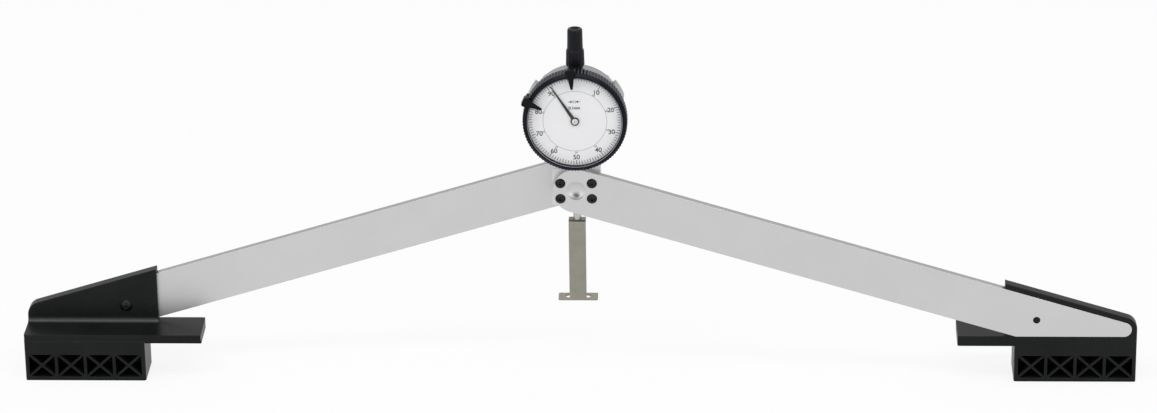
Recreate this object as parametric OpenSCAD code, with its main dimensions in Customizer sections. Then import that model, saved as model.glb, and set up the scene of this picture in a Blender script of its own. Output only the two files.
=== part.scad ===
// Wheel dishing gauge with a dial indicator.
// Two flat aluminium arms cross at a centre block and end in moulded feet.
// The indicator's stem is clamped in the block. Its spindle carries a folded
// contact bracket, which rises between the arms and turns the pointer.
// X runs along the tool, -Y faces the reader of the dial, Z = 0 is the plane
// of the pads, and the stem axis is X = Y = 0.
// Turned half a turn about the stem axis, the arms and feet map onto themselves.

/* [Arms] */
// Half of the length over the two feet
half_span = 308; // [290:1:340]
// Slope of each arm below level, in degrees
arm_slope = 16.8; // [14:0.2:20]
// Width of the flat bar
arm_w = 25.4; // [22:0.2:30]
// Thickness of the flat bar
arm_t = 4; // [3:0.1:5]
// Radius of the rounded outer tip
arm_tip_r = 4.2; // [3.2:0.1:5.5]
// Radius of the mouth of the thumb dimple
dimple_mouth_r = 5.5; // [4:0.1:6]
// Depth of the thumb dimple
dimple_depth = 1.8; // [1:0.1:2.5]

/* [Centre block] */
// Width of the block
block_w = 26.4; // [25:0.2:32]
// Thickness of the block, which is also the gap between the arms
block_t = 15; // [13:0.2:18]
// Height of the block above the arms' crossing point
block_above = 11.4; // [9.5:0.1:12]
// Depth of the block below the arms' crossing point
block_below = 10.1; // [8:0.1:11]
// Thickness of the bridge that clamps the stem
bridge_t = 11.9; // [9:0.1:14]
// Half of the arm screws' spacing along X
arm_screw_dx = 8.6; // [8:0.1:9.6]
// Half of the arm screws' spacing along Z
arm_screw_dz = 4.5; // [4.2:0.1:5.5]
// Depth of each arm screw's thread in the block
arm_screw_bite = 4.8; // [3.5:0.1:5]

/* [Feet] */
// Length of the block under each foot
foot_block_len = 67.2; // [60:0.2:75]
// Height from the pad to the underside of the ledge
foot_step_h = 21.4; // [19:0.2:24]
// Thickness of the ledge
ledge_t = 5.8; // [4.6:0.1:7]
// Length of the ledge beyond the block
ledge_reach = 31.4; // [26:0.2:38]
// Distance from the stem axis to the foot's closed side
foot_back_y = 14.4; // [13.6:0.1:16]
// Length of the hood beyond the block
hood_reach = 5.8; // [3:0.1:9]
// Wall of the hood that wraps the arm's edge
hood_wall = 2.9; // [2:0.1:4]
// Web of the hood behind the arm
web_t = 2.2; // [1.6:0.1:3]
// Fillet between the web and the ledge
web_fillet = 3; // [1.5:0.1:3.8]
// Height of the lip along the closed side
lip_h = 3.5; // [2.5:0.1:4.2]
// Set-back of the lip from the block's face
lip_inset = 0.5; // [0.2:0.1:0.8]
// Rounding of the foot's upright corners
foot_corner_r = 1.2; // [0.6:0.1:2]
// Number of braced cells on each face
cell_count = 4; // [3:1:5]
// Height of a braced cell
cell_h = 13.3; // [11:0.1:15]
// Margin below and beside the cells
cell_margin = 2.2; // [1.6:0.1:3]
// Rib between two cells
cell_rib = 1.7; // [1.2:0.1:2.4]
// Width of a cell's diagonal brace
brace_t = 1.3; // [1:0.1:1.8]
// Set-back of the braces from the face
brace_inset = 0.4; // [0.2:0.1:1]
// Wall left between the front cells and the rear cells
cell_core = 3; // [2:0.1:5]
// Distance of the foot screw from the block's inner end
foot_screw_in = 11.8; // [9:0.1:16]

/* [Indicator] */
// Diameter of the bezel over its knurl
bezel_d = 57; // [56:0.1:60]
// Distance from the stem axis to the front of the bezel
bezel_front = 17; // [16.5:0.1:18]
// Depth of the bezel
bezel_depth = 9.5; // [9:0.1:10.5]
// Grooves of the bezel's knurl
knurl_count = 100; // [60:1:120]
// Depth of the knurl
knurl_depth = 0.45; // [0.2:0.05:0.6]
// Radius of the case behind the bezel
case_r = 25; // [24:0.1:26]
// Wall of the bezel over the neck of the case
bezel_wall = 3.5; // [3.3:0.1:4]
// Wall of the case
case_wall = 3; // [2.6:0.1:3.4]
// Distance from the stem axis to the rear of the case
case_back = 6; // [5.8:0.1:7]
// Thickness of the back cover
cover_t = 2; // [1.5:0.1:3]
// Space between the arms' round ends and the bezel
bezel_gap = 0.9; // [0.5:0.1:2]
// Diameter of the clamping stem
stem_d = 8; // [7.6:0.1:8.4]
// Thickness of the crystal
crystal_t = 1; // [0.8:0.1:1.4]
// Thickness of the dial face
dial_t = 0.5; // [0.4:0.1:0.8]
// Length of the pointer from the arbor to its tip
pointer_len = 23.8; // [20:0.1:24]
// Pointer's rest position, in degrees anticlockwise from the top
pointer_rest = 32.7; // [0:0.1:60]
// Height of the dust cap above its seat
cap_h = 22.9; // [22.5:0.1:26]
// Radius of the dust cap's upper part
cap_r = 4.15; // [3.8:0.05:4.6]
// Radius of the dust cap's ribbed grip
cap_grip_r = 4.8; // [4.7:0.05:5.1]
// Ribs around the dust cap's grip
cap_rib_count = 24; // [12:1:30]

/* [Spindle and bracket] */
// Travel of the spindle
travel = 20; // [16:0.5:20]
// Diameter of the spindle
spindle_d = 4.5; // [4.4:0.05:4.7]
// Height of the contact bracket
bracket_h = 47.6; // [40:0.2:52]
// Width of the bracket's post
bracket_w = 9.4; // [8.5:0.1:9.8]
// Thickness of the bracket's sheet
bracket_t = 1.2; // [0.8:0.1:1.5]
// Width of the bracket's foot plate
plate_w = 21.8; // [19:0.1:24]
// Depth of the bracket's foot plate
plate_d = 7.9; // [7.5:0.1:9]
// Length of the foot plate's slot
slot_len = 14.3; // [12:0.1:16]
// Width of the foot plate's slot
slot_w = 5.4; // [4.6:0.1:5.8]

/* [Gear train] */
// Pitch of the rack
rack_pitch = 0.625; // [0.625:0.0625:0.6875]
// Teeth of the rack's pinion
rack_pinion_teeth = 32; // [30:2:32]
// Teeth of the wheel on the rack's arbor and of the take-up wheel
wheel_teeth = 60; // [56:4:60]
// Teeth of the pointer's pinion
centre_teeth = 30; // [28:2:30]
// Module of the wheels and of the pointer's pinion
wheel_module = 0.2; // [0.2:0.005:0.21]

/* [Limit markers] */
// Rest angle of the upper marker, in degrees clockwise from the top
top_marker_at = -4; // [-20:1:20]
// Rest angle of the side marker, in degrees clockwise from the top
side_marker_at = -65.5; // [-90:0.5:-50]
// Length of a marker's tongue inside the bezel's edge
marker_reach = 9; // [7:0.1:11]
// Length of a marker's clip along the rim
marker_len = 7.5; // [5:0.1:9]
// Thickness of a marker over the rim
marker_t = 2.4; // [1.5:0.1:3]

/* [Fits] */
// Clearance between the hood and the arm
arm_fit = 0.15; // [0.1:0.05:0.3]
// Radial clearance of a running shaft
run_fit = 0.05; // [0.03:0.01:0.08]
// Radial clearance of a screw in its thread or of a seated tube
seat_fit = 0.02; // [0.01:0.01:0.04]
// Clearance of a screw in a plain hole
hole_fit = 0.1; // [0.05:0.05:0.2]
// Least clearance between pieces that pass each other
pass_gap = 0.4; // [0.3:0.05:0.6]

/* [Hidden] */
$fn = 96;
// Overlap of a cutting tool past the face that it cuts
cut = 1;
// Step from a straight edge down to the round end that continues it
blend = 0.01;

// Feet and arms. The arm's tip seats in the hood, and the tip sets the arms' height.
face_y = block_t / 2 + arm_t;
ledge_top = foot_step_h + ledge_t;
block_in = half_span - foot_block_len;
ledge_in = block_in - ledge_reach;
hood_in = block_in - hood_reach;
tip_x = half_span - hood_wall - arm_fit - arm_tip_r;
tip_z = ledge_top + arm_tip_r;
hub_z = tip_z + arm_tip_r / cos(arm_slope) + tan(arm_slope) * tip_x - arm_w / 2 / cos(arm_slope);
arm_low_x = (hub_z - arm_w / 2 / cos(arm_slope) - ledge_top) / tan(arm_slope);
foot_screw_x = block_in + foot_screw_in;
foot_screw_z = hub_z - tan(arm_slope) * foot_screw_x;
cell_w = (foot_block_len - 2 * cell_margin - (cell_count - 1) * cell_rib) / cell_count;
cell_depth = (face_y + foot_back_y - cell_core) / 2;
dimple_r = (dimple_mouth_r * dimple_mouth_r + dimple_depth * dimple_depth) / (2 * dimple_depth);

// Screws: radius of thread, radius and height of head, width of the hexagon socket
m4_r = 2;
m4_head_r = 3.6;
m4_head_h = 2.2;
m4_socket = 2.5;
m3_r = 1.5;
m3_head_r = 2.85;
m3_head_h = 1.65;
m3_socket = 2;
m25_r = 1.25;
m25_head_r = 2.2;
m25_head_h = 1.3;
m25_socket = 1.5;
m2_r = 1;
m2_head_r = 1.5;
m2_head_h = 1.2;
cover_screw_bite = 4;

// Contact bracket, whose post clears the head of its screw
head_room = 0.3;
flange_rim = 0.25;
bracket_front = m25_head_r + head_room + bracket_t;
bracket_rear = spindle_d / 2 + flange_rim;

// Heights on the stem axis
block_top = hub_z + block_above;
slot_top = block_top - bridge_t;
spindle_r = spindle_d / 2;
stem_r = stem_d / 2;
flange_z = slot_top - pass_gap - travel;
contact_z = flange_z - bracket_h;
slot_half = bracket_w / 2 + pass_gap;
gauge_z = hub_z + arm_w / 2 + bezel_gap + bezel_d / 2;
boss_wall = 1.4;
boss_r = stem_r + boss_wall;
boss_out = 0.5;
cap_seat = gauge_z + case_r + boss_out;
bush_up = 3;
spindle_proud = 1.2;
spindle_top = cap_seat + spindle_proud;
cap_bore_r = spindle_r + pass_gap;

// Distances in front of the stem axis inside the indicator
bezel_r = bezel_d / 2;
neck_r = bezel_r - bezel_wall;
bezel_rear = bezel_front - bezel_depth;
marker_wall = 0.8;
marker_gap = pass_gap / 2;
case_step = bezel_rear - marker_gap - marker_wall - pass_gap;
lip_t = 0.6;
crystal_front = bezel_front - lip_t;
crystal_rear = crystal_front - crystal_t;
pointer_room = 1.3;
dial_front = crystal_rear - pointer_room;
dial_rear = dial_front - dial_t;
dial_gap = 0.3;
case_front = dial_rear - dial_gap;
plate_t = 1;
plate_inset = 0.9;
plate_front = case_front - plate_inset;
plate_rear = plate_front - plate_t;
rear_plate_gap = 1.15;
rear_plate_front = -(spindle_r + rear_plate_gap);
bridge_gap = 0.75;
bridge_rear = spindle_r + bridge_gap;
wheel_t = 1;
wheel_gap = 1;
wheel_rear = bridge_rear + plate_t + wheel_gap;

// Seats of the crystal and dial in the bezel, and of the front plate in the case
glass_seat = 1.35;
glass_r = neck_r + glass_seat;
spacer_wall = 0.7;
spacer_r = glass_r - spacer_wall;
window_rim = 0.4;
window_r = neck_r + window_rim;
plate_seat = 1.3;
inner_r = min(case_r, neck_r) - case_wall;
plate_r = inner_r + plate_seat;

// Retaining ring, half in the case's neck and half in the bezel
ring_back = 2.2;
ring_f = bezel_rear + ring_back;
ring_t = 0.8;
ring_bite = 0.4;
ring_in_r = neck_r - ring_bite;
ring_proud = 0.5;
ring_out_r = neck_r + ring_proud;

// Gear train. The rack's teeth are cut in the spindle's left side.
rack_inset = 0.55;
rack_line = spindle_r - rack_inset;
rack_module = rack_pitch / PI;
rack_pinion_r = rack_pinion_teeth * rack_module / 2;
rack_add = 0.9 * rack_module;
rack_ded = 1.25 * rack_module;
rack_face = 2.4;
train_span = wheel_module * (wheel_teeth + centre_teeth) / 2;
arbor_x = rack_line + rack_pinion_r;
arbor_z = sqrt(train_span * train_span - arbor_x * arbor_x);
train_angle = atan2(arbor_z, arbor_x);
arbor_r = 0.6;
pillar_r = 1.5;
pillar_in = 4.5;
pillar_xz = (inner_r - pillar_in) / sqrt(2);
bridge_pillar = 12;

// Guide pin and return spring, at set distances from the case's inner wall
pin_r = 1;
pin_below = 7;
pin_in = 12.4;
pin_x = inner_r - pin_in;
guide_t = 1.4;
guide_in = 16.8;
guide_x = inner_r - guide_in;
spring_r = 1.5;
spring_wire_r = 0.2;
spring_turns = 12;
spring_in = 13.6;
spring_x = inner_r - spring_in;
stud_in = 5;
spring_low = gauge_z - inner_r + stud_in;
spring_end_gap = 0.3;
spring_high = gauge_z - pin_below - pin_r - spring_end_gap;

// ---------- helpers ----------

// Extrudes a drawing in X and Z from y0 to y1.
module slab(y0, y1) {
    translate([0, y1, 0]) rotate([90, 0, 0]) linear_extrude(y1 - y0) children();
}

// Places children drawn about the dial's centre: local z is the distance to the front.
module on_gauge() {
    translate([0, 0, gauge_z]) rotate([90, 0, 0]) children();
}

// Half a turn about the stem axis.
module opposite() {
    rotate([0, 0, 180]) children();
}

// A disc between two distances in front of the stem axis.
module disc(r, f0, f1) {
    translate([0, 0, f0]) cylinder(r = r, h = f1 - f0);
}

module rounded_rect(w, d, r) {
    translate([r, 0]) square([w - 2 * r, d]);
    translate([0, r]) square([w, d - 2 * r]);
    for (x = [r, w - r], y = [r, d - r]) translate([x, y]) circle(r);
}

// Button-head screw: the head stands above z = 0 and the thread runs down from it.
module button_screw(r, head_r, head_h, socket, length) {
    dome = (head_r * head_r + head_h * head_h) / (2 * head_h);
    difference() {
        union() {
            intersection() {
                cylinder(r = head_r, h = head_h);
                translate([0, 0, head_h - dome]) sphere(dome);
            }
            translate([0, 0, -length]) cylinder(r = r, h = length + head_h / 4);
        }
        translate([0, 0, head_h / 4]) cylinder(r = socket / sqrt(3), h = head_h, $fn = 6);
    }
}

// Flat gear drawing with straight-sided teeth; a tooth's middle points along phase.
module gear_outline(teeth, m, phase) {
    pitch = 360 / teeth;
    root = m * (teeth / 2 - 1.25);
    tip = m * (teeth / 2 + 0.9);
    polygon([for (i = [0:teeth - 1], k = [0:3])
        let (a = phase + pitch * (i + [-0.32, -0.11, 0.11, 0.32][k]))
        let (r = (k == 0 || k == 3) ? root : tip)
        [r * cos(a), r * sin(a)]]);
}

// ---------- arms and block ----------

// Outline of the right arm in X and Z, grown by g at its edges and tip.
module arm_outline(g) {
    up = [sin(arm_slope), cos(arm_slope)];
    hub_r = arm_w / 2 + g;
    tip_r = arm_tip_r + g;
    translate([0, hub_z]) circle(hub_r - blend);
    translate([tip_x, tip_z]) circle(tip_r - blend);
    polygon([
        [0, hub_z],
        [-up[0] * hub_r, hub_z - up[1] * hub_r],
        [arm_low_x, ledge_top],
        [tip_x, ledge_top],
        [tip_x, tip_z],
        [tip_x + up[0] * tip_r, tip_z + up[1] * tip_r],
        [up[0] * hub_r, hub_z + up[1] * hub_r]
    ]);
}

module arm_screw_places() {
    for (x = [-arm_screw_dx, arm_screw_dx], z = [-arm_screw_dz, arm_screw_dz])
        translate([x, -face_y, hub_z + z]) rotate([90, 0, 0]) children();
}

module right_arm_bar() {
    difference() {
        slab(-face_y, -block_t / 2) arm_outline(0);
        arm_screw_places() translate([0, 0, -arm_t - cut]) cylinder(r = m3_r + hole_fit, h = arm_t + 2 * cut);
        translate([foot_screw_x, 0, foot_screw_z]) rotate([90, 0, 0])
            translate([0, 0, block_t / 2 - cut]) cylinder(r = m4_r + seat_fit, h = arm_t + 2 * cut);
        translate([0, -face_y - dimple_r + dimple_depth, hub_z]) sphere(dimple_r);
    }
}

module right_arm() {
    color("lightgray") right_arm_bar();
}

module left_arm() {
    color("lightgray") opposite() right_arm_bar();
}

module centre_block() {
    color("silver") difference() {
        translate([-block_w / 2, -block_t / 2, hub_z - block_below])
            cube([block_w, block_t, block_above + block_below]);
        translate([-slot_half, -block_t / 2 - cut, hub_z - block_below - cut])
            cube([2 * slot_half, block_t + 2 * cut, slot_top - hub_z + block_below + cut]);
        translate([0, 0, slot_top - cut]) cylinder(r = stem_r + seat_fit, h = bridge_t + 2 * cut);
        for (half = [0, 180]) rotate([0, 0, half]) arm_screw_places()
            translate([0, 0, -arm_t - arm_screw_bite]) cylinder(r = m3_r + seat_fit, h = arm_screw_bite + cut);
        translate([0, 0, block_top - bridge_t / 2]) rotate([0, 90, 0])
            cylinder(r = m4_r + seat_fit, h = block_w);
    }
}

module front_arm_screws() {
    color("black") arm_screw_places()
        button_screw(m3_r, m3_head_r, m3_head_h, m3_socket, arm_t + arm_screw_bite - pass_gap);
}

module rear_arm_screws() {
    opposite() front_arm_screws();
}

module stem_clamp_screw() {
    socket_depth = 2;
    set_back = 0.6;
    length = block_w / 2 - stem_r - seat_fit - set_back;
    color("black") translate([stem_r + seat_fit, 0, block_top - bridge_t / 2]) rotate([0, 90, 0])
        difference() {
            cylinder(r = m4_r, h = length);
            translate([0, 0, length - socket_depth]) cylinder(r = m3_socket / sqrt(3), h = socket_depth + cut, $fn = 6);
        }
}

// ---------- feet ----------

// Outer outline of the hood in X and Z. It runs down into the ledge to join it.
module hood_outline() {
    root = ledge_top - ledge_t / 2;
    r = arm_tip_r + arm_fit + hood_wall;
    rise = (arm_w / 2 + arm_fit + hood_wall) / cos(arm_slope);
    polygon([
        [hood_in, root],
        [tip_x, root],
        [tip_x, tip_z],
        [tip_x + r * sin(arm_slope), tip_z + r * cos(arm_slope)],
        [hood_in, hub_z + rise - tan(arm_slope) * hood_in]
    ]);
    translate([tip_x, tip_z]) circle(r - blend);
    translate([tip_x, root]) square([r, tip_z - root]);
}

// The open corners of one braced cell, with its crossed diagonals left standing.
module cell_outline() {
    difference() {
        square([cell_w, cell_h]);
        brace(1);
        brace(-1);
    }
}

// One diagonal of a cell: side is 1 for rising and -1 for falling.
module brace(side) {
    lean = side * atan2(cell_h, cell_w);
    translate([cell_w / 2, cell_h / 2]) rotate(lean)
        translate([-cell_w, -brace_t / 2]) square([2 * cell_w, brace_t]);
}

// Cells cut from the face at y = 0 into positive y.
module cell_row() {
    for (i = [0:cell_count - 1])
        translate([block_in + cell_margin + i * (cell_w + cell_rib), 0, cell_margin]) {
            slab(0, cell_depth) cell_outline();
            slab(-cut, brace_inset) square([cell_w, cell_h]);
        }
}

module right_foot_moulding() {
    web_y = -block_t / 2 + web_t;
    lip_z = ledge_top - lip_h;
    length = half_span - ledge_in;
    difference() {
        intersection() {
            union() {
                // Block, its upper band behind the lip, the ledge and its lip
                translate([block_in, -face_y, 0])
                    linear_extrude(lip_z) rounded_rect(foot_block_len, face_y + foot_back_y, foot_corner_r);
                translate([block_in, -face_y, 0])
                    linear_extrude(ledge_top) rounded_rect(foot_block_len, face_y + foot_back_y - lip_inset, foot_corner_r);
                translate([ledge_in, -face_y, foot_step_h])
                    cube([length - foot_corner_r, 2 * face_y, ledge_t]);
                translate([ledge_in, 0, lip_z])
                    cube([length - foot_corner_r, foot_back_y - lip_inset, lip_h]);
                // Hood with its web, and the fillet at the web's root
                slab(-face_y, web_y) hood_outline();
                translate([hood_in, web_y, ledge_top]) rotate([90, 0, 90]) linear_extrude(half_span - hood_in)
                    difference() {
                        translate([-web_t / 2, -ledge_t / 2])
                            square([web_fillet + web_t / 2, web_fillet + ledge_t / 2]);
                        translate([web_fillet, web_fillet]) circle(web_fillet);
                    }
            }
            // Rounded upright corners over the whole height
            translate([ledge_in, -face_y, -cut])
                linear_extrude(hub_z) rounded_rect(length, face_y + foot_back_y, foot_corner_r);
        }
        // Pocket for the arm, open to the front and towards the centre
        intersection() {
            slab(-face_y - cut, -block_t / 2) arm_outline(arm_fit);
            translate([0, -face_y - cut, ledge_top]) cube([half_span, face_y, hub_z]);
        }
        translate([foot_screw_x, 0, foot_screw_z]) rotate([90, 0, 0])
            cylinder(r = m4_r + hole_fit, h = block_t / 2 + cut);
        translate([0, -face_y, 0]) cell_row();
        translate([half_span + block_in, foot_back_y, 0]) opposite() cell_row();
    }
}

module right_foot() {
    color("dimgray") right_foot_moulding();
}

module left_foot() {
    color("dimgray") opposite() right_foot_moulding();
}

// The head seats on the web, and the end stops just short of the arm's face.
module foot_screws() {
    web_y = -block_t / 2 + web_t;
    color("black") for (half = [0, 180]) rotate([0, 0, half])
        translate([foot_screw_x, web_y, foot_screw_z]) rotate([-90, 0, 0])
            button_screw(m4_r, m4_head_r, m4_head_h, m4_socket, web_t + arm_t - pass_gap);
}

// ---------- indicator case ----------

module cover_screw_places() {
    off_middle = 0.1;
    for (a = [45:90:315]) rotate(a) translate([inner_r + case_wall / 2 - off_middle, 0, 0]) children();
}

// Ear on the side of the case, behind the bezel.
module case_ear(angle) {
    ear_out = 2.7;
    ear_span = 20;
    ear_rear = 2;
    rotate(90 - angle) intersection() {
        difference() {
            disc(case_r + ear_out, -case_back + ear_rear, case_step);
            disc(case_r - case_wall / 2, -case_back, bezel_rear);
        }
        linear_extrude(4 * case_back, center = true)
            polygon([[0, 0], [2 * case_r, -2 * case_r * tan(ear_span / 2)], [2 * case_r, 2 * case_r * tan(ear_span / 2)]]);
    }
}

module gauge_case() {
    ear_at = 61.5;
    boss_root = 4;
    stem_bore_r = stem_r + seat_fit;
    stem_bore_h = case_r - inner_r + boss_root;
    color("silver") difference() {
        union() {
            on_gauge() disc(case_r, -case_back, case_step);
            on_gauge() disc(neck_r, case_step, case_front);
            on_gauge() case_ear(ear_at);
            on_gauge() case_ear(-ear_at);
            // Bosses that carry the stem and the dust cap
            translate([0, 0, gauge_z - case_r - boss_out]) cylinder(r = boss_r, h = boss_root);
            translate([0, 0, cap_seat - boss_root]) cylinder(r = boss_r, h = boss_root);
        }
        on_gauge() disc(inner_r, -case_back - cut, case_front + cut);
        on_gauge() disc(plate_r + seat_fit, plate_rear, case_front + cut);
        on_gauge() difference() {
            disc(neck_r + cut, ring_f, ring_f + ring_t);
            disc(ring_in_r, ring_f - cut, ring_f + ring_t + cut);
        }
        on_gauge() cover_screw_places() translate([0, 0, -case_back - cut])
            cylinder(r = m2_r + seat_fit, h = cover_screw_bite + 2 * cut);
        translate([0, 0, gauge_z - case_r - boss_out - cut]) cylinder(r = stem_bore_r, h = stem_bore_h);
        translate([0, 0, cap_seat + cut - stem_bore_h]) cylinder(r = stem_bore_r, h = stem_bore_h);
    }
}

// Tube that is clamped in the block and guides the spindle.
module gauge_stem() {
    top = gauge_z - sqrt(inner_r * inner_r - stem_r * stem_r);
    color("silver") translate([0, 0, slot_top]) difference() {
        cylinder(r = stem_r, h = top - slot_top);
        translate([0, 0, -cut]) cylinder(r = spindle_r + run_fit, h = top - slot_top + 2 * cut);
    }
}

// Upper guide of the spindle. The dust cap screws onto it.
module upper_bush() {
    low = gauge_z + sqrt(inner_r * inner_r - stem_r * stem_r);
    length = cap_seat + bush_up - low;
    color("goldenrod") translate([0, 0, low]) difference() {
        cylinder(r = stem_r, h = length);
        translate([0, 0, -cut]) cylinder(r = spindle_r + run_fit, h = length + 2 * cut);
    }
}

module dust_cap() {
    collar_h = 2.8;
    grip_top = 11.1;
    chamfer = 0.8;
    roof_t = 1.5;
    collar_r = boss_r - 0.2;
    rib_r = 0.35;
    color("black") translate([0, 0, cap_seat]) difference() {
        union() {
            rotate_extrude() polygon([
                [0, 0], [collar_r, 0], [collar_r, collar_h - 0.4], [cap_grip_r + 0.1, collar_h],
                [cap_grip_r, grip_top - 0.6], [cap_grip_r - 0.5, grip_top], [cap_r, grip_top],
                [cap_r, cap_h - chamfer], [cap_r - chamfer, cap_h], [0, cap_h]
            ]);
            for (i = [0:cap_rib_count - 1]) rotate(i * 360 / cap_rib_count)
                translate([cap_grip_r - rib_r / 3, 0, collar_h - 0.6]) cylinder(r = rib_r, h = grip_top - collar_h - 0.2, $fn = 16);
        }
        translate([0, 0, -cut]) cylinder(r = stem_r + seat_fit, h = bush_up + cut);
        translate([0, 0, -cut]) cylinder(r = cap_bore_r, h = cap_h - roof_t + cut);
        translate([0, 0, cap_h - roof_t / 3]) cylinder(r = cap_r / 2, h = cut);
    }
}

module back_cover() {
    rim = 0.6;
    lip = 1;
    color("silver") on_gauge() difference() {
        union() {
            translate([0, 0, -case_back - cover_t]) rotate_extrude()
                polygon([[0, 0], [case_r - rim, 0], [case_r, rim], [case_r, cover_t], [0, cover_t]]);
            disc(inner_r - arm_fit, -case_back, -case_back + lip);
        }
        cover_screw_places() translate([0, 0, -case_back - cover_t - cut])
            cylinder(r = m2_r + hole_fit, h = cover_t + 2 * cut);
    }
}

module back_cover_screws() {
    color("gray") on_gauge() cover_screw_places() {
        translate([0, 0, -case_back - cover_t]) cylinder(r = m2_r, h = cover_t + cover_screw_bite, $fn = 32);
        difference() {
            translate([0, 0, -case_back - cover_t - m2_head_h]) cylinder(r = m2_head_r, h = m2_head_h, $fn = 32);
            translate([-m2_head_r - cut, -0.2, -case_back - cover_t - m2_head_h - cut])
                cube([2 * m2_head_r + 2 * cut, 0.4, cut + m2_head_h / 2]);
        }
    }
}

// Split wire ring that holds the bezel on the case and lets it turn.
module retaining_ring() {
    color("gray") on_gauge() difference() {
        disc(ring_out_r, ring_f + seat_fit, ring_f + ring_t - seat_fit);
        disc(ring_in_r + seat_fit, ring_f - cut, ring_f + ring_t + cut);
        translate([0, -1, ring_f - cut]) cube([neck_r + 2, 2, ring_t + 2 * cut]);
    }
}

// ---------- movement ----------

// Plate under the dial. It seats on a shoulder of the case and carries the front pivots.
module front_plate() {
    color("goldenrod") on_gauge() difference() {
        disc(plate_r, plate_rear, plate_front);
        for (side = [-1, 0, 1]) translate([side * arbor_x, side * arbor_z, plate_rear - cut])
            cylinder(r = arbor_r + run_fit, h = plate_t + 2 * cut, $fn = 32);
    }
}

// Rear plate on four pillars. Its stud anchors the return spring.
module rear_plate() {
    stud_r = 0.8;
    color("goldenrod") on_gauge() difference() {
        union() {
            disc(inner_r - 2 * pass_gap, rear_plate_front - plate_t, rear_plate_front);
            for (x = [-pillar_xz, pillar_xz], z = [-pillar_xz, pillar_xz])
                translate([x, z, rear_plate_front - plate_t / 2])
                    cylinder(r = pillar_r, h = plate_rear - rear_plate_front + plate_t / 2, $fn = 32);
            translate([spring_x, spring_low - gauge_z - stud_r, rear_plate_front - plate_t / 2])
                cylinder(r = stud_r, h = -rear_plate_front + plate_t / 2 + spring_r, $fn = 32);
        }
        translate([-arbor_x, -arbor_z, rear_plate_front - plate_t - cut])
            cylinder(r = arbor_r + run_fit, h = plate_t + 2 * cut, $fn = 32);
        disc(4, rear_plate_front - plate_t - cut, rear_plate_front + cut);
    }
}

// Bridge behind the pointer's pinion, on two pillars under the front plate.
module centre_bridge() {
    across = train_angle - 90;
    color("goldenrod") on_gauge() difference() {
        union() {
            rotate(across) translate([-bridge_pillar, -2, bridge_rear]) cube([2 * bridge_pillar, 4, plate_t]);
            rotate(train_angle) translate([0, -2, bridge_rear]) cube([train_span + 2, 4, plate_t]);
            rotate(across) for (side = [-1, 1]) translate([side * bridge_pillar, 0, bridge_rear])
                cylinder(r = pillar_r + 0.5, h = plate_rear - bridge_rear, $fn = 32);
        }
        disc(arbor_r + run_fit, bridge_rear - cut, bridge_rear + plate_t + cut);
        translate([arbor_x, arbor_z, bridge_rear - cut])
            cylinder(r = arbor_r + run_fit, h = plate_t + 2 * cut, $fn = 32);
    }
}

// Upright plate whose slot guides the pin and keeps the spindle from turning.
module pin_guide() {
    low = gauge_z - pin_below - pin_r - 2;
    rear = -rear_plate_front;
    depth = rear + pin_r + 1.2;
    color("goldenrod") difference() {
        translate([guide_x, rear - depth, low]) cube([guide_t, depth, travel + 2 * pin_r + 4]);
        translate([guide_x - cut, -pin_r - run_fit, low + 1.5])
            cube([guide_t + 2 * cut, 2 * (pin_r + run_fit), travel + 2 * pin_r + 1]);
    }
}

// Tension spring between the rear plate's stud and the guide pin.
module return_spring() {
    sides = 6;
    steps = 12;
    rings = spring_turns * steps;
    rise = (spring_high - spring_low) / rings;
    points = [for (i = [0:rings], k = [0:sides - 1])
        let (a = i * 360 / steps)
        let (b = k * 360 / sides)
        let (r = spring_r + spring_wire_r * cos(b))
        [r * cos(a), r * sin(a), i * rise + spring_wire_r * sin(b)]];
    walls = [for (i = [0:rings - 1], k = [0:sides - 1], h = [0, 1])
        let (n = (k + 1) % sides)
        h == 0 ? [i * sides + k, (i + 1) * sides + k, (i + 1) * sides + n]
               : [i * sides + k, (i + 1) * sides + n, i * sides + n]];
    ends = concat(
        [for (k = [1:sides - 2]) [0, k, k + 1]],
        [for (k = [1:sides - 2]) [rings * sides, rings * sides + k + 1, rings * sides + k]]);
    color("silver") translate([spring_x, 0, spring_low]) polyhedron(points, concat(walls, ends));
}

// One gap of the rack, cut from the spindle's left side.
module rack_gap() {
    shallow = rack_pitch * 0.42;
    deep = rack_pitch * 0.2;
    slab(-spindle_r - cut, spindle_r + cut) polygon([
        [-rack_line - rack_add - cut, -shallow - 0.05],
        [-rack_line - rack_add, -shallow],
        [-rack_line + rack_ded, -deep],
        [-rack_line + rack_ded, deep],
        [-rack_line - rack_add, shallow],
        [-rack_line - rack_add - cut, shallow + 0.05]
    ]);
}

module rack_spindle() {
    mesh_z = gauge_z - arbor_z;
    rack_low = mesh_z - travel - 2;
    rack_high = mesh_z + 2;
    gaps = floor((rack_high - rack_low) / rack_pitch);
    thread_depth = 8;
    color("lightgray") difference() {
        translate([0, 0, flange_z]) cylinder(r = spindle_r, h = spindle_top - flange_z);
        // Flat along the tips of the rack's teeth
        translate([-spindle_r - cut, -spindle_r - cut, rack_low])
            cube([spindle_r + cut - rack_line - rack_add, 2 * (spindle_r + cut), rack_high - rack_low]);
        for (i = [0:gaps - 1]) translate([0, 0, mesh_z + rack_pitch * (2.5 - i)]) rack_gap();
        translate([0, 0, gauge_z - pin_below]) rotate([0, 90, 0])
            cylinder(r = pin_r + seat_fit, h = spindle_r + cut);
        translate([0, 0, flange_z - cut]) cylinder(r = m25_r + seat_fit, h = thread_depth + cut);
    }
}

module guide_pin() {
    color("gray") translate([seat_fit, 0, gauge_z - pin_below]) rotate([0, 90, 0]) cylinder(r = pin_r, h = pin_x);
}

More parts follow.
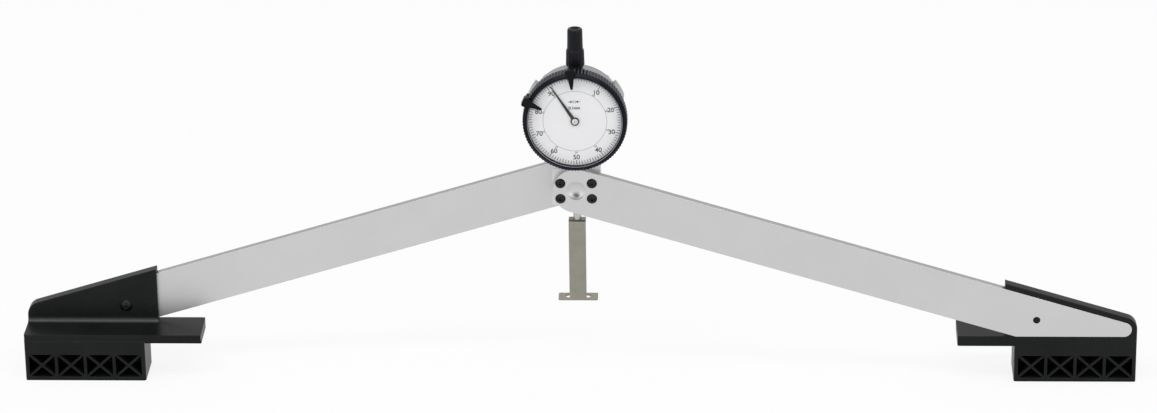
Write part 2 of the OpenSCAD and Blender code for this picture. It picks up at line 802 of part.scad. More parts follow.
// Folded sheet: a flange under the spindle, a post in front, and a slotted foot plate.
module contact_bracket() {
    bend_r = bracket_t + 0.4;
    depth = bracket_front + bracket_rear;
    plate_mid = plate_d / 2 - bracket_front;
    corner = 1;
    color("darkkhaki") difference() {
        union() {
            translate([-bracket_w / 2, 0, 0]) rotate([90, 0, 90]) linear_extrude(bracket_w) difference() {
                translate([-bracket_front, contact_z]) square([depth, bracket_h]);
                translate([-bracket_front + bracket_t, contact_z + bracket_t])
                    square([depth, bracket_h - 2 * bracket_t]);
                // Round outside of the upper bend
                translate([-bracket_front, flange_z - bend_r]) difference() {
                    translate([-cut, 0]) square([bend_r + cut, bend_r + cut]);
                    translate([bend_r, 0]) circle(bend_r);
                    translate([bend_r, -cut]) square([cut, bend_r + 2 * cut]);
                }
            }
            translate([-plate_w / 2, -bracket_front, contact_z])
                linear_extrude(bracket_t) rounded_rect(plate_w, plate_d, corner);
        }
        translate([0, plate_mid, contact_z - cut]) linear_extrude(bracket_t + 2 * cut) {
            square([slot_len - slot_w, slot_w], center = true);
            for (side = [-1, 1]) translate([side * (slot_len - slot_w) / 2, 0]) circle(slot_w / 2);
        }
        translate([0, 0, flange_z - bracket_t - cut]) cylinder(r = m25_r + hole_fit, h = bracket_t + 2 * cut);
    }
}

module bracket_screw() {
    color("gray") translate([0, 0, flange_z - bracket_t]) rotate([180, 0, 0])
        difference() {
            union() {
                cylinder(r = m25_head_r, h = m25_head_h, $fn = 48);
                translate([0, 0, -bracket_t - 5]) cylinder(r = m25_r, h = bracket_t + 5 + m25_head_h / 2, $fn = 48);
            }
            translate([0, 0, m25_head_h / 2]) cylinder(r = m25_socket / sqrt(3), h = m25_head_h, $fn = 6);
        }
}

// Arbor beside the spindle: the rack turns its pinion, and its wheel turns the pointer's.
module rack_arbor() {
    color("goldenrod") on_gauge() translate([-arbor_x, -arbor_z, 0]) {
        disc(arbor_r, rear_plate_front - plate_t + 0.2, plate_front - 0.2);
        translate([0, 0, -rack_face / 2]) linear_extrude(rack_face)
            gear_outline(rack_pinion_teeth, rack_module, 180 / rack_pinion_teeth);
        translate([0, 0, wheel_rear]) linear_extrude(wheel_t)
            gear_outline(wheel_teeth, wheel_module, train_angle);
    }
}

// The pointer's arbor with its pinion.
module centre_arbor() {
    color("goldenrod") on_gauge() {
        disc(arbor_r, bridge_rear + 0.1, crystal_rear - 0.3);
        translate([0, 0, wheel_rear]) linear_extrude(wheel_t)
            gear_outline(centre_teeth, wheel_module, train_angle + 180 / centre_teeth);
    }
}

// Needle with a round boss, pressed on the centre arbor.
module pointer() {
    boss = 2.3;
    root_half = 1;
    tip_half = 0.2;
    low = dial_front + 0.35;
    color("black") on_gauge() difference() {
        union() {
            disc(boss, low, crystal_rear - 0.25);
            rotate(90 + pointer_rest) translate([0, 0, low]) linear_extrude(0.3)
                polygon([[0, -root_half], [pointer_len, -tip_half], [pointer_len, tip_half], [0, root_half]]);
        }
        disc(arbor_r + seat_fit, low - cut, crystal_rear + cut);
    }
}

// Wheel that the hairspring drives against the pinion, which takes up the backlash.
module takeup_arbor() {
    color("goldenrod") on_gauge() translate([arbor_x, arbor_z, 0]) {
        disc(arbor_r, bridge_rear + 0.1, plate_front - 0.2);
        translate([0, 0, wheel_rear]) linear_extrude(wheel_t)
            gear_outline(wheel_teeth, wheel_module, train_angle + 180);
    }
}

// Flat spiral, with its inner end on the take-up arbor.
module hairspring() {
    turns = 4;
    steps = 24;
    inner = arbor_r + seat_fit;
    outer = 4.2;
    strip = 0.16;
    width = 1;
    count = turns * steps;
    function radius(i) = inner + (outer - inner) * i / count;
    function place(r, i) = [r * cos(i * 360 / steps), r * sin(i * 360 / steps)];
    color("steelblue") on_gauge() translate([arbor_x, arbor_z, wheel_rear + wheel_t + 1]) linear_extrude(width)
        polygon(concat(
            [for (i = [0:count]) place(radius(i), i)],
            [for (i = [count:-1:0]) place(radius(i) + strip, i)]));
}

// ---------- bezel ----------

module bezel() {
    plain = 0.9;
    lip_bevel = 0.4;
    groove = 0.1;
    // Floor of the knurl's grooves, just above the points of the drawing's notches
    floor_r = bezel_r - 0.8 * knurl_depth;
    color("midnightblue") on_gauge() difference() {
        union() {
            translate([0, 0, bezel_rear]) rotate_extrude() polygon([
                [0, 0], [bezel_r - 2 * plain, 0], [floor_r, plain],
                [floor_r, bezel_depth - 1.5 * plain], [bezel_r - 2 * plain, bezel_depth], [0, bezel_depth]
            ]);
            translate([0, 0, bezel_rear + plain]) linear_extrude(bezel_depth - 2.5 * plain)
                polygon([for (i = [0:2 * knurl_count - 1])
                    let (r = bezel_r - (i % 2) * knurl_depth)
                    [r * cos(i * 180 / knurl_count), r * sin(i * 180 / knurl_count)]]);
        }
        disc(neck_r + run_fit, bezel_rear - cut, dial_rear);
        disc(ring_out_r + groove, ring_f - groove, ring_f + ring_t + groove);
        disc(glass_r, dial_rear, dial_front);
        disc(spacer_r, dial_front, crystal_rear);
        disc(glass_r, crystal_rear, crystal_front);
        translate([0, 0, crystal_front]) cylinder(r1 = window_r, r2 = window_r + lip_bevel, h = lip_t + seat_fit);
    }
}

module crystal() {
    color([0.8, 0.9, 1, 0.3]) on_gauge() disc(glass_r - seat_fit, crystal_rear, crystal_front);
}

module dial_face() {
    color("white") on_gauge() difference() {
        disc(glass_r - seat_fit, dial_rear, dial_front);
        disc(2 * arbor_r, dial_rear - cut, dial_front + cut);
    }
}

// Clip that grips the bezel's rim, with a tapered tongue over the crystal.
module limit_marker() {
    half_angle = marker_len / bezel_r * 90 / PI;
    front = bezel_front + marker_gap;
    rear = bezel_rear - marker_gap;
    base = 1.6;
    tip = 0.3;
    intersection() {
        difference() {
            disc(bezel_r + marker_t, rear - marker_wall, front + marker_wall);
            disc(bezel_r + run_fit, rear, front);
            disc(bezel_r - 1.6, rear - marker_wall - cut, front + marker_wall + cut);
        }
        linear_extrude(4 * bezel_front, center = true) polygon([
            [0, 0],
            [-2 * bezel_r * tan(half_angle), 2 * bezel_r],
            [2 * bezel_r * tan(half_angle), 2 * bezel_r]
        ]);
    }
    translate([0, 0, front]) linear_extrude(marker_wall) polygon([
        [-base, bezel_r - 1], [-tip, bezel_r - marker_reach], [tip, bezel_r - marker_reach], [base, bezel_r - 1]
    ]);
}

module top_limit_marker() {
    color("black") on_gauge() rotate(-top_marker_at) limit_marker();
}

module side_limit_marker() {
    color("black") on_gauge() rotate(-side_marker_at) limit_marker();
}

left_arm();
right_arm();
centre_block();
front_arm_screws();
rear_arm_screws();
left_foot();
right_foot();
foot_screws();
stem_clamp_screw();
gauge_case();
gauge_stem();
upper_bush();
dust_cap();
back_cover();
back_cover_screws();
front_plate();
rear_plate();
centre_bridge();
pin_guide();
return_spring();
retaining_ring();
rack_spindle();
guide_pin();
contact_bracket();
bracket_screw();
rack_arbor();
centre_arbor();
pointer();
takeup_arbor();
hairspring();
bezel();
crystal();
dial_face();
top_limit_marker();
side_limit_marker();
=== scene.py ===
import math

import bmesh
import bpy
from mathutils import Matrix, Vector


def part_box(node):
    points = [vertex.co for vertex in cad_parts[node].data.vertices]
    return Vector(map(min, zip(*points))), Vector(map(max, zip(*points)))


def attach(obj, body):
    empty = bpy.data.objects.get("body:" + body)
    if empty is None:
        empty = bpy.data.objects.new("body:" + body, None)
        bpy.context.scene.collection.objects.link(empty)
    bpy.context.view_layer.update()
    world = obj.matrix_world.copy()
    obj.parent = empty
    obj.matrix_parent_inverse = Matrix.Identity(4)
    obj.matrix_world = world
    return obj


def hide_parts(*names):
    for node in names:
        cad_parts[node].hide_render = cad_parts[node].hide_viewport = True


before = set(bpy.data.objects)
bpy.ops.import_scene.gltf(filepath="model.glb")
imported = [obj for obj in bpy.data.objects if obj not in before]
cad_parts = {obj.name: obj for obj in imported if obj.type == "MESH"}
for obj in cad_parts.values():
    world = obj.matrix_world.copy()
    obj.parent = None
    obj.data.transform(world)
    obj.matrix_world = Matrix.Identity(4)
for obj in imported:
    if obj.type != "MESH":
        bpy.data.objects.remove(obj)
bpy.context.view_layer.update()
scene = bpy.context.scene
# Blender counts in metres. Sizes are written in millimetres and multiplied by this
MM = 0.001


# ---------- camera ----------

# The photograph's camera, as fitted to the part's corners: angles in degrees, lengths in mm
CAMERA_AZIMUTH, CAMERA_ELEVATION, CAMERA_ROLL = 2.339, 22.567, -0.779
CAMERA_TARGET = (0.731, 0, 99.5)
CAMERA_DISTANCE = 2522.1
SENSOR_WIDTH = 36
FOCAL_LENGTH = 142.863
# Nearest and farthest depth that it shows, in metres
NEAREST, FARTHEST = 0.1, 60


def make_camera():
    """Looks at its target from the fitted side, rolled about its own axis."""
    azimuth = math.radians(CAMERA_AZIMUTH)
    elevation = math.radians(CAMERA_ELEVATION)
    roll = math.radians(CAMERA_ROLL)
    level = math.cos(elevation)
    back = Vector((math.sin(azimuth) * level, -math.cos(azimuth) * level, math.sin(elevation)))
    right = (-back).cross(Vector((0, 0, 1))).normalized()
    up = right.cross(-back)
    across = math.cos(roll) * right + math.sin(roll) * up
    upward = math.cos(roll) * up - math.sin(roll) * right
    turn = Matrix((across, upward, back)).transposed().to_4x4()
    turn.translation = Vector(CAMERA_TARGET) * MM + back * CAMERA_DISTANCE * MM
    data = bpy.data.cameras.new("camera")
    data.sensor_width = SENSOR_WIDTH
    data.lens = FOCAL_LENGTH
    data.clip_start = NEAREST
    data.clip_end = FARTHEST
    camera = bpy.data.objects.new("camera", data)
    scene.collection.objects.link(camera)
    camera.matrix_world = turn
    scene.camera = camera


make_camera()
scene.view_settings.view_transform = "Standard"


# ---------- material tools ----------

# Samples for a rounded edge, and the cosines between a face and its rounded shading at which the
# mask of the edges starts and is full
EDGE_SAMPLES = 6
EDGE_START, EDGE_FULL = 0.995, 0.86


def feed(tree, socket, value):
    """Links another node's output to a socket, or sets the socket to a constant."""
    if isinstance(value, bpy.types.NodeSocket):
        tree.links.new(value, socket)
    elif socket.type == "RGBA":
        socket.default_value = (*value, 1)
    else:
        socket.default_value = value


def feed_all(tree, node, inputs):
    """Feeds a node's inputs by name, with an underscore for each space."""
    for name, value in inputs.items():
        feed(tree, node.inputs[name.replace("_", " ")], value)


def add_node(tree, kind, **inputs):
    made = tree.nodes.new(kind)
    feed_all(tree, made, inputs)
    return made


def calculate(tree, operation, *values):
    """What a Math node makes of these values."""
    made = tree.nodes.new("ShaderNodeMath")
    made.operation = operation
    for socket, value in zip(made.inputs, values):
        feed(tree, socket, value)
    return made.outputs[0]


def mixed_shaders(tree, share, first, second):
    """Two shader nodes mixed, where a share of 1 is the second alone."""
    mix = tree.nodes.new("ShaderNodeMixShader")
    for socket, value in zip(mix.inputs, (share, first.outputs[0], second.outputs[0])):
        feed(tree, socket, value)
    return mix


def seen_ray(tree):
    """1 for the rays that show the surroundings: straight, mirrored or through glass."""
    path = tree.nodes.new("ShaderNodeLightPath")
    seen = path.outputs["Is Camera Ray"]
    for other in ("Is Glossy Ray", "Is Transmission Ray"):
        seen = calculate(tree, "MAXIMUM", seen, path.outputs[other])
    return seen


class Shader:
    """A material's node tree, with short calls for the nodes used here. Lengths are in mm."""

    def __init__(self, name):
        self.mat = bpy.data.materials.new(name)
        self.mat.use_nodes = True
        self.tree = self.mat.node_tree
        self.tree.nodes.clear()
        self.out = self.node("ShaderNodeOutputMaterial")
        self.bsdf = self.node("ShaderNodeBsdfPrincipled")
        self.show(self.bsdf)
        self.place = self.node("ShaderNodeTexCoord").outputs["Object"]
        self.normal = None

    def node(self, kind, **inputs):
        return add_node(self.tree, kind, **inputs)

    def set(self, **inputs):
        """Sets the surface's own inputs."""
        feed_all(self.tree, self.bsdf, inputs)

    def show(self, shader):
        feed(self.tree, self.out.inputs["Surface"], shader.outputs[0])

    def plus(self, first, *others):
        for other in others:
            first = calculate(self.tree, "ADD", first, other)
        return first

    def minus(self, first, second):
        return calculate(self.tree, "SUBTRACT", first, second)

    def times(self, first, *others):
        for other in others:
            first = calculate(self.tree, "MULTIPLY", first, other)
        return first

    def without_sign(self, value):
        return calculate(self.tree, "ABSOLUTE", value)

    def span(self, value, low, high, to_low=0, to_high=1):
        """Carries the stretch from low to high over to to_low to to_high, and holds it beyond."""
        made = self.node("ShaderNodeMapRange", Value=value, From_Min=low, From_Max=high,
                         To_Min=to_low, To_Max=to_high)
        return made.outputs["Result"]

    def vary(self, noise, low, high, spread=0.2):
        """Goes from low to high while a noise crosses its middle by this much on both sides."""
        return self.span(noise, 0.5 - spread, 0.5 + spread, low, high)

    def mix(self, share, first, second):
        """Two colours mixed, where a share of 1 is the second alone."""
        made = self.tree.nodes.new("ShaderNodeMix")
        made.data_type = "RGBA"
        sockets = [s for s in made.inputs if s.enabled]
        for socket, value in zip(sockets, (share, first, second)):
            feed(self.tree, socket, value)
        return next(o for o in made.outputs if o.enabled)

    def mottled(self, noise, colour, dark, light, spread=0.2):
        """The colour in patches, between dark and light times itself."""
        return self.mix(self.vary(noise, 0, 1, spread), scaled(colour, dark), scaled(colour, light))

    def noise(self, size, detail, rough=0.55):
        """Noise with features of about this size."""
        made = self.node("ShaderNodeTexNoise", Vector=self.place, Scale=1 / (size * MM),
                         Detail=detail, Roughness=rough)
        return made.outputs["Fac"]

    def stretched_noise(self, sizes, detail, rough=0.6):
        """Noise with features of these sizes along X, Y and Z."""
        scale = tuple(1 / (size * MM) for size in sizes)
        place = self.node("ShaderNodeMapping", Vector=self.place, Scale=scale).outputs["Vector"]
        made = self.node("ShaderNodeTexNoise", Vector=place, Scale=1.0,
                         Detail=detail, Roughness=rough)
        return made.outputs["Fac"]

    def bump(self, height, depth, strength):
        """Adds a relief this deep to those before it."""
        made = self.node("ShaderNodeBump", Height=height, Strength=strength, Distance=depth * MM)
        if self.normal is not None:
            feed(self.tree, made.inputs["Normal"], self.normal)
        self.normal = made.outputs["Normal"]
        self.set(Normal=self.normal)

    def round_edges(self, radius):
        """Shades the edges as if rounded, and gives a mask that is 1 at them."""
        bevel = self.node("ShaderNodeBevel", Radius=radius * MM)
        bevel.samples = EDGE_SAMPLES
        flat_normal = self.node("ShaderNodeNewGeometry").outputs["Normal"]
        self.normal = bevel.outputs["Normal"]
        self.set(Normal=self.normal)
        cosine = self.node("ShaderNodeVectorMath")
        cosine.operation = "DOT_PRODUCT"
        feed(self.tree, cosine.inputs[0], self.normal)
        feed(self.tree, cosine.inputs[1], flat_normal)
        return self.span(cosine.outputs["Value"], EDGE_START, EDGE_FULL)


def scaled(colour, k):
    return tuple(min(1.0, c * k) for c in colour)


# ---------- materials ----------

BRASS = (0.62, 0.47, 0.2)
# Bare steel at worn edges, which also stands in for a painted highlight there
BARE_STEEL_AND_HIGHLIGHT = (0.26, 0.255, 0.25)
DUST = (0.16, 0.16, 0.155)
# A lighter plastic that paints the highlight along the feet's fillets
PAINTED_HIGHLIGHT_PLASTIC = (0.08, 0.083, 0.082)

# The dimples' axis runs through the middle of the four screws round it. Painted shade lies in a spot
# under the axis, and in a crescent that rises and falls inside the lip and fades upwards
screws_low, screws_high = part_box("front_arm_screws")
DIMPLE_Z = (screws_low.z + screws_high.z) / 2
SPOT_DROP, SPOT_STRETCH = 3.2 * MM, 1.3
SPOT_FALL = (0.8 * MM, 3.2 * MM)
LIP_RISE, LIP_FALL = (3.4 * MM, 4.9 * MM), (5.1 * MM, 5.6 * MM)
LIP_FADE = (DIMPLE_Z - 4.2 * MM, DIMPLE_Z - 1.2 * MM)

# Each foot's web lies against the arm's inner face and meets the ledge, at the height of the
# arm's lowest point, in a fillet. The painted highlight on it starts and ends at these distances from
# both
arm_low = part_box("left_arm")[0]
WEB_WALL, FILLET_R = 2.2 * MM, 3.0 * MM
WEB_FACE, LEDGE_Z = arm_low.y - WEB_WALL, arm_low.z
HIGHLIGHT_START = (0, 0.7 * MM)
HIGHLIGHT_END = (FILLET_R * 0.65, FILLET_R * 1.05)


def painted_shade_on_cut_faces(s):
    """Mask of painted shade: 1 on a bar's cut edges, and 0 on its two flat faces, which look along Y.
    """
    geometry = s.node("ShaderNodeNewGeometry")
    facing = s.node("ShaderNodeSeparateXYZ", Vector=geometry.outputs["True Normal"])
    return s.span(s.without_sign(facing.outputs["Y"]), 0.2, 0.8, 1, 0)


def dimple_painted_shade(s):
    """Share of painted shade low in the thumb dimples: a spot, and a crescent inside the lower lip."""
    at = s.node("ShaderNodeSeparateXYZ", Vector=s.place)

    def distance(drop, stretch):
        """How far a point is from one this far under the axis, with its heights stretched."""
        across = at.outputs["X"]
        up = s.times(s.minus(at.outputs["Z"], DIMPLE_Z - drop), stretch)
        return calculate(s.tree, "SQRT", s.plus(s.times(across, across), s.times(up, up)))

    spot = s.span(distance(SPOT_DROP, SPOT_STRETCH), *SPOT_FALL, 0.9, 0)
    radius = distance(0, 1)
    lip = s.times(s.span(radius, *LIP_RISE), s.span(radius, *LIP_FALL, 1, 0))
    crescent = s.times(lip, s.span(at.outputs["Z"], *LIP_FADE, 0.8, 0))
    either = calculate(s.tree, "MAXIMUM", spot, crescent)
    return s.times(either, s.span(s.noise(1.1, 3), 0.3, 0.6, 0.75, 1))


def fillet_painted_highlight(s):
    """1 in a patchy band along the fillet between web and ledge, where a highlight is painted."""
    at = s.node("ShaderNodeSeparateXYZ", Vector=s.place)
    from_web = s.minus(WEB_FACE, s.without_sign(at.outputs["Y"]))
    from_ledge = s.minus(at.outputs["Z"], LEDGE_Z)
    band = s.span(s.noise(0.6, 3, 0.7), 0.3, 0.65, 0.55, 1)
    for distance in (from_web, from_ledge):
        band = s.times(band, s.span(distance, *HIGHLIGHT_START), s.span(distance, *HIGHLIGHT_END, 1, 0))
    return band


def blasted_aluminium(name, colour, rough):
    """Bead-blasted, anodised bar: fine craters, faint clouds, handling marks, painted shade on the cut
    edges and low in the dimples.
    """
    s = Shader(name)
    edges = s.round_edges(0.3)
    craters = s.noise(0.28, 2, 0.7)
    handled = s.noise(60, 5, 0.65)
    rubs = s.stretched_noise((9, 9, 0.5), 4)
    tone = s.mottled(s.noise(26, 4), colour, 0.985, 1.01, spread=0.15)
    tone = s.mix(s.vary(craters, 0, 0.16), tone, scaled(colour, 0.86))
    # Painted shade: the cut edges, tops and bottoms are a darker copy of the colour
    tone = s.mix(s.times(painted_shade_on_cut_faces(s), 0.9), tone, scaled(colour, 0.6))
    # Painted shade low in the thumb dimples: a darker copy of the colour
    tone = s.mix(dimple_painted_shade(s), tone, scaled(colour, 0.1))
    tone = s.mix(s.times(edges, 0.4), tone, scaled(colour, 1.12))
    wear = s.plus(s.span(handled, 0.35, 0.7, -0.05, 0.05), s.span(rubs, 0.45, 0.75, 0, -0.05))
    wear = s.plus(wear, s.vary(craters, -0.03, 0.03))
    s.set(Base_Color=tone, Metallic=1.0, Roughness=s.plus(wear, rough))
    s.bump(craters, 0.018, 0.55)
    s.bump(rubs, 0.006, 0.25)
    return s.mat


def milled_aluminium(name, colour, rough):
    """Anodised block with cutter marks across it."""
    s = Shader(name)
    edges = s.round_edges(0.3)
    marks = s.stretched_noise((14, 14, 0.22), 3)
    tone = s.mottled(s.noise(9, 3), colour, 0.93, 1.05)
    tone = s.mix(s.times(edges, 0.6), tone, scaled(colour, 1.2))
    gloss = s.vary(marks, rough - 0.07, rough + 0.07, spread=0.25)
    s.set(Base_Color=tone, Metallic=1.0, Roughness=gloss)
    s.bump(marks, 0.012, 0.5)
    return s.mat


def textured_plastic(name, colour, rough, grain, depth, shine, edge, fillet=False):
    """Black moulding from a spark-eroded tool: stippled, with rubbed edges and a little dust.

    grain and depth are those of the stipple, and edge is the radius of the edges.
    """
    s = Shader(name)
    edges = s.round_edges(edge)
    stipple = s.noise(grain, 2, 0.6)
    flow = s.noise(18, 4)
    dust = s.noise(2.2, 5, 0.75)
    rubbed = s.noise(5, 4, 0.6)
    tone = s.mottled(flow, colour, 0.85, 1.18, spread=0.15)
    tone = s.mix(s.span(dust, 0.6, 0.8, 0, 0.1), tone, DUST)
    worn = s.times(edges, s.span(rubbed, 0.4, 0.7, 0.12, 0.5))
    tone = s.mix(worn, tone, scaled(colour, 2.4))
    # Painted highlight along the fillet, which is also made smoother there
    if fillet:
        band = fillet_painted_highlight(s)
        tone = s.mix(band, tone, PAINTED_HIGHLIGHT_PLASTIC)
        rough = s.minus(rough, s.times(band, 0.12))
    gloss = s.plus(s.vary(stipple, -0.05, 0.06), s.vary(flow, -0.03, 0.03, spread=0.15))
    s.set(Base_Color=tone, Roughness=s.plus(gloss, rough), Specular_IOR_Level=shine)
    s.bump(stipple, depth, 0.5)
    return s.mat


def black_oxide(name, colour, rough):
    """Blackened steel, patchy and a little oily. Its edges are lighter: partly worn bare metal and
    partly a painted highlight.
    """
    s = Shader(name)
    edges = s.round_edges(0.15)
    patchy = s.noise(0.9, 4, 0.65)
    oily = s.noise(3, 3)
    tone = s.mix(s.span(patchy, 0.35, 0.7), colour, scaled(colour, 1.8))
    # Lighter edges: worn bare steel, and partly a painted highlight on the rims
    tone = s.mix(s.times(edges, 0.45), tone, BARE_STEEL_AND_HIGHLIGHT)
    s.set(Base_Color=tone, Metallic=0.75, Roughness=s.vary(oily, rough - 0.08, rough + 0.1))
    s.bump(patchy, 0.008, 0.5)
    return s.mat


def satin_metal(name, colour, rough, grain, depth=0.006, metal=1.0):
    """Brushed or drawn metal. grain gives the size of its lines along X, Y and Z."""
    s = Shader(name)
    edges = s.round_edges(0.2)
    lines = s.stretched_noise(grain, 4)
    stains = s.noise(6, 4, 0.6)
    specks = s.noise(0.5, 3, 0.7)
    tone = s.mottled(stains, colour, 0.9, 1.07)
    tone = s.mix(s.span(specks, 0.62, 0.8, 0, 0.25), tone, scaled(colour, 0.6))
    tone = s.mix(s.times(edges, 0.5), tone, scaled(colour, 1.25))
    brushed = s.vary(lines, -0.08, 0.08, spread=0.25)
    gloss = s.plus(brushed, s.vary(stains, rough - 0.04, rough + 0.05))
    s.set(Base_Color=tone, Metallic=metal, Roughness=gloss)
    s.bump(lines, depth, 0.5)
    return s.mat


def enamel(name, colour, rough):
    """The dial's ground: smooth paint with a faint orange peel."""
    s = Shader(name)
    peel = s.noise(0.7, 3)
    tone = s.mottled(s.noise(14, 3), colour, 0.985, 1.01)
    gloss = s.vary(peel, rough - 0.05, rough + 0.05)
    s.set(Base_Color=tone, Roughness=gloss, Specular_IOR_Level=0.35)
    s.bump(peel, 0.004, 0.4)
    return s.mat


def ink(name, colour):
    """Matt print with a slight grain."""
    s = Shader(name)
    grain = s.noise(0.12, 3, 0.7)
    tone = s.mix(s.span(grain, 0.45, 0.75, 0, 0.35), colour, scaled(colour, 2.0))
    s.set(Base_Color=tone, Roughness=s.vary(grain, 0.45, 0.62), Specular_IOR_Level=0.15)
    s.bump(grain, 0.004, 0.4)
    return s.mat


def clear_cover(name):
    """Thin clear acrylic: a clean film with its gloss, faintly scuffed."""
    s = Shader(name)
    s.tree.nodes.remove(s.bsdf)
    scuffs = s.stretched_noise((2.5, 2.5, 0.2), 5, 0.7)
    see = s.node("ShaderNodeBsdfTransparent", Color=(0.995, 0.995, 0.995))
    smooth = s.span(scuffs, 0.45, 0.8, 0.03, 0.12)
    gloss = s.node("ShaderNodeBsdfGlossy", Color=(1, 1, 1), Roughness=smooth)
    # Schlick's share of reflection, alike from both sides of the thin cover
    facing = s.node("ShaderNodeLayerWeight", Blend=0.5).outputs["Facing"]
    share = s.plus(s.times(calculate(s.tree, "POWER", facing, 5.0), 0.96), 0.018)
    s.show(mixed_shaders(s.tree, share, see, gloss))
    return s.mat


MATERIALS = {}


def look(kind, name, **values):
    """Makes a material of this kind and keeps it under its name."""
    MATERIALS[name] = kind(name, **values)


# The CAD nodes' slots
look(blasted_aluminium, "arm_aluminium", colour=(0.58, 0.578, 0.579), rough=0.42)
look(milled_aluminium, "block_aluminium", colour=(0.6, 0.61, 0.6), rough=0.36)
look(textured_plastic, "foot_plastic", colour=(0.0085, 0.009, 0.0092), rough=0.34,
     grain=0.34, depth=0.014, shine=0.11, edge=1.0, fillet=True)
look(black_oxide, "black_screw", colour=(0.006, 0.006, 0.0065), rough=0.3)
look(satin_metal, "case_metal", colour=(0.3, 0.304, 0.316), rough=0.34, grain=(0.3, 0.3, 0.3))
look(satin_metal, "stem_steel", colour=(0.46, 0.46, 0.45), rough=0.26, grain=(8, 8, 0.1))
look(satin_metal, "bush_brass", colour=BRASS, rough=0.3, grain=(8, 8, 0.1))
look(textured_plastic, "cap_plastic", colour=(0.004, 0.0045, 0.0065), rough=0.26,
     grain=0.3, depth=0.006, shine=0.16, edge=0.3)
look(satin_metal, "movement_brass", colour=BRASS, rough=0.3, grain=(6, 6, 0.15))
look(satin_metal, "spring_steel", colour=(0.4, 0.41, 0.43), rough=0.25, grain=(0.1, 0.1, 3))
look(satin_metal, "screw_steel", colour=(0.42, 0.42, 0.43), rough=0.3, grain=(0.15, 4, 4))
look(satin_metal, "bracket_nickel", colour=(0.29, 0.275, 0.232), rough=0.42,
     grain=(0.12, 0.12, 12), depth=0.01)
look(black_oxide, "pointer_black", colour=(0.01, 0.01, 0.01), rough=0.4)
look(textured_plastic, "bezel_plastic", colour=(0.0035, 0.004, 0.008), rough=0.28,
     grain=0.22, depth=0.004, shine=0.09, edge=0.25)
look(clear_cover, "crystal_clear")
look(enamel, "dial_white", colour=(0.785, 0.78, 0.785), rough=0.42)
look(textured_plastic, "marker_black", colour=(0.003, 0.0033, 0.004), rough=0.32,
     grain=0.25, depth=0.006, shine=0.12, edge=0.2)


def dress(obj):
    """Gives a CAD node the look of its slot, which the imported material's name holds."""
    packed = obj.data.materials[0].name
    slot = max((name for name in MATERIALS if name in packed), key=len)
    for i in range(len(obj.data.materials)):
        obj.data.materials[i] = MATERIALS[slot]


for node_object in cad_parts.values():
    dress(node_object)

# What only the added pieces have
look(ink, "print_dark", colour=(0.012, 0.012, 0.015))
look(ink, "print_grey", colour=(0.2, 0.2, 0.21))
look(satin_metal, "hub_metal", colour=(0.66, 0.65, 0.63), rough=0.28,
     grain=(0.2, 2, 2), depth=0.004)
# A grey line that paints the highlight on the crest of the bezel's inner lip
look(satin_metal, "lip_line", colour=(0.24, 0.24, 0.27), rough=0.3,
     grain=(2, 2, 2), depth=0.002, metal=0.2)


# ---------- tools for pieces ----------

dial_low, dial_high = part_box("dial_face")
DIAL_AT = Vector(((dial_low.x + dial_high.x) / 2, dial_low.y, (dial_low.z + dial_high.z) / 2))


def before_dial(node):
    """How far a node's front stands before the dial's, in mm."""
    return (DIAL_AT.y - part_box(node)[0].y) / MM


def piece(name, mesh, body, material):
    """An object of this mesh that rides on a body."""
    made = bpy.data.objects.new(name, mesh)
    scene.collection.objects.link(made)
    mesh.materials.clear()
    mesh.materials.append(MATERIALS[material])
    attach(made, body)
    return made


def finished(bm, name):
    bmesh.ops.recalc_face_normals(bm, faces=bm.faces)
    mesh = bpy.data.meshes.new(name)
    bm.to_mesh(mesh)
    bm.free()
    return mesh


def shade_smooth(made):
    for polygon in made.data.polygons:
        polygon.use_smooth = True


def clock_vectors(angle):
    """Outward and clockwise unit vectors at an angle in degrees clockwise from the top."""
    a = math.radians(angle)
    return Vector((math.sin(a), 0, math.cos(a))), Vector((math.cos(a), 0, -math.sin(a)))


def rectangle(left, right, low, high):
    return [(left, low), (right, low), (right, high), (left, high)]


def prism(bm, lower, upper):
    """A closed solid between two outlines with the same number of points."""
    low = [bm.verts.new(point) for point in lower]
    top = [bm.verts.new(point) for point in upper]
    bm.faces.new(top)
    bm.faces.new(low[::-1])
    for i in range(len(low)):
        j = (i + 1) % len(low)
        bm.faces.new((low[i], low[j], top[j], top[i]))


def turned(profile, steps, place, close_start=False):
    """A turned skin. place makes a point of an angle and the profile's radius and height."""
    bm = bmesh.new()
    rings = []
    for radius, height in profile:
        angles = [2 * math.pi * i / steps for i in range(steps if radius else 1)]
        rings.append([bm.verts.new(place(a, radius, height)) for a in angles])
    for a, b in zip(rings, rings[1:]):
        for i in range(steps):
            j = (i + 1) % steps
            corners = (a[i % len(a)], a[j % len(a)], b[j % len(b)], b[i % len(b)])
            bm.faces.new(list(dict.fromkeys(corners)))
    if close_start:
        bm.faces.new(rings[0][::-1])
    return bm


# ---------- the dial's print ----------

# Degrees by which the print is turned in its bezel, how far the ink stands before the dial in mm,
# and how deep it goes into it as a share of that
PRINT_TURN = -1.6
INK = 0.03
SINK = 0.6

# Ticks: their outer end, and for every tenth, fifth and other one its inner end and width, in mm
DIVISIONS = 100
TICK_OUTER = 25.1
TICK_KINDS = ((10, 22.6, 0.34), (5, 23.0, 0.3), (1, 23.2, 0.25))
CIRCLE_INNER, CIRCLE_OUTER, CIRCLE_INK = 17.25, 17.43, 0.025
CIRCLE_STEPS = 96

# Distance from the dial's middle and height of the figures, in mm. Above and below the middle,
# the reverse numbers stand nearer to it by REVERSE_SHIFT
NUMBER_R, NUMBER_HEIGHT = 20.6, 2.6
REVERSE_R, REVERSE_HEIGHT, REVERSE_SHIFT = 18.3, 1.15, 0.2
UNIT_R, UNIT_HEIGHT = 7.9, 1.6
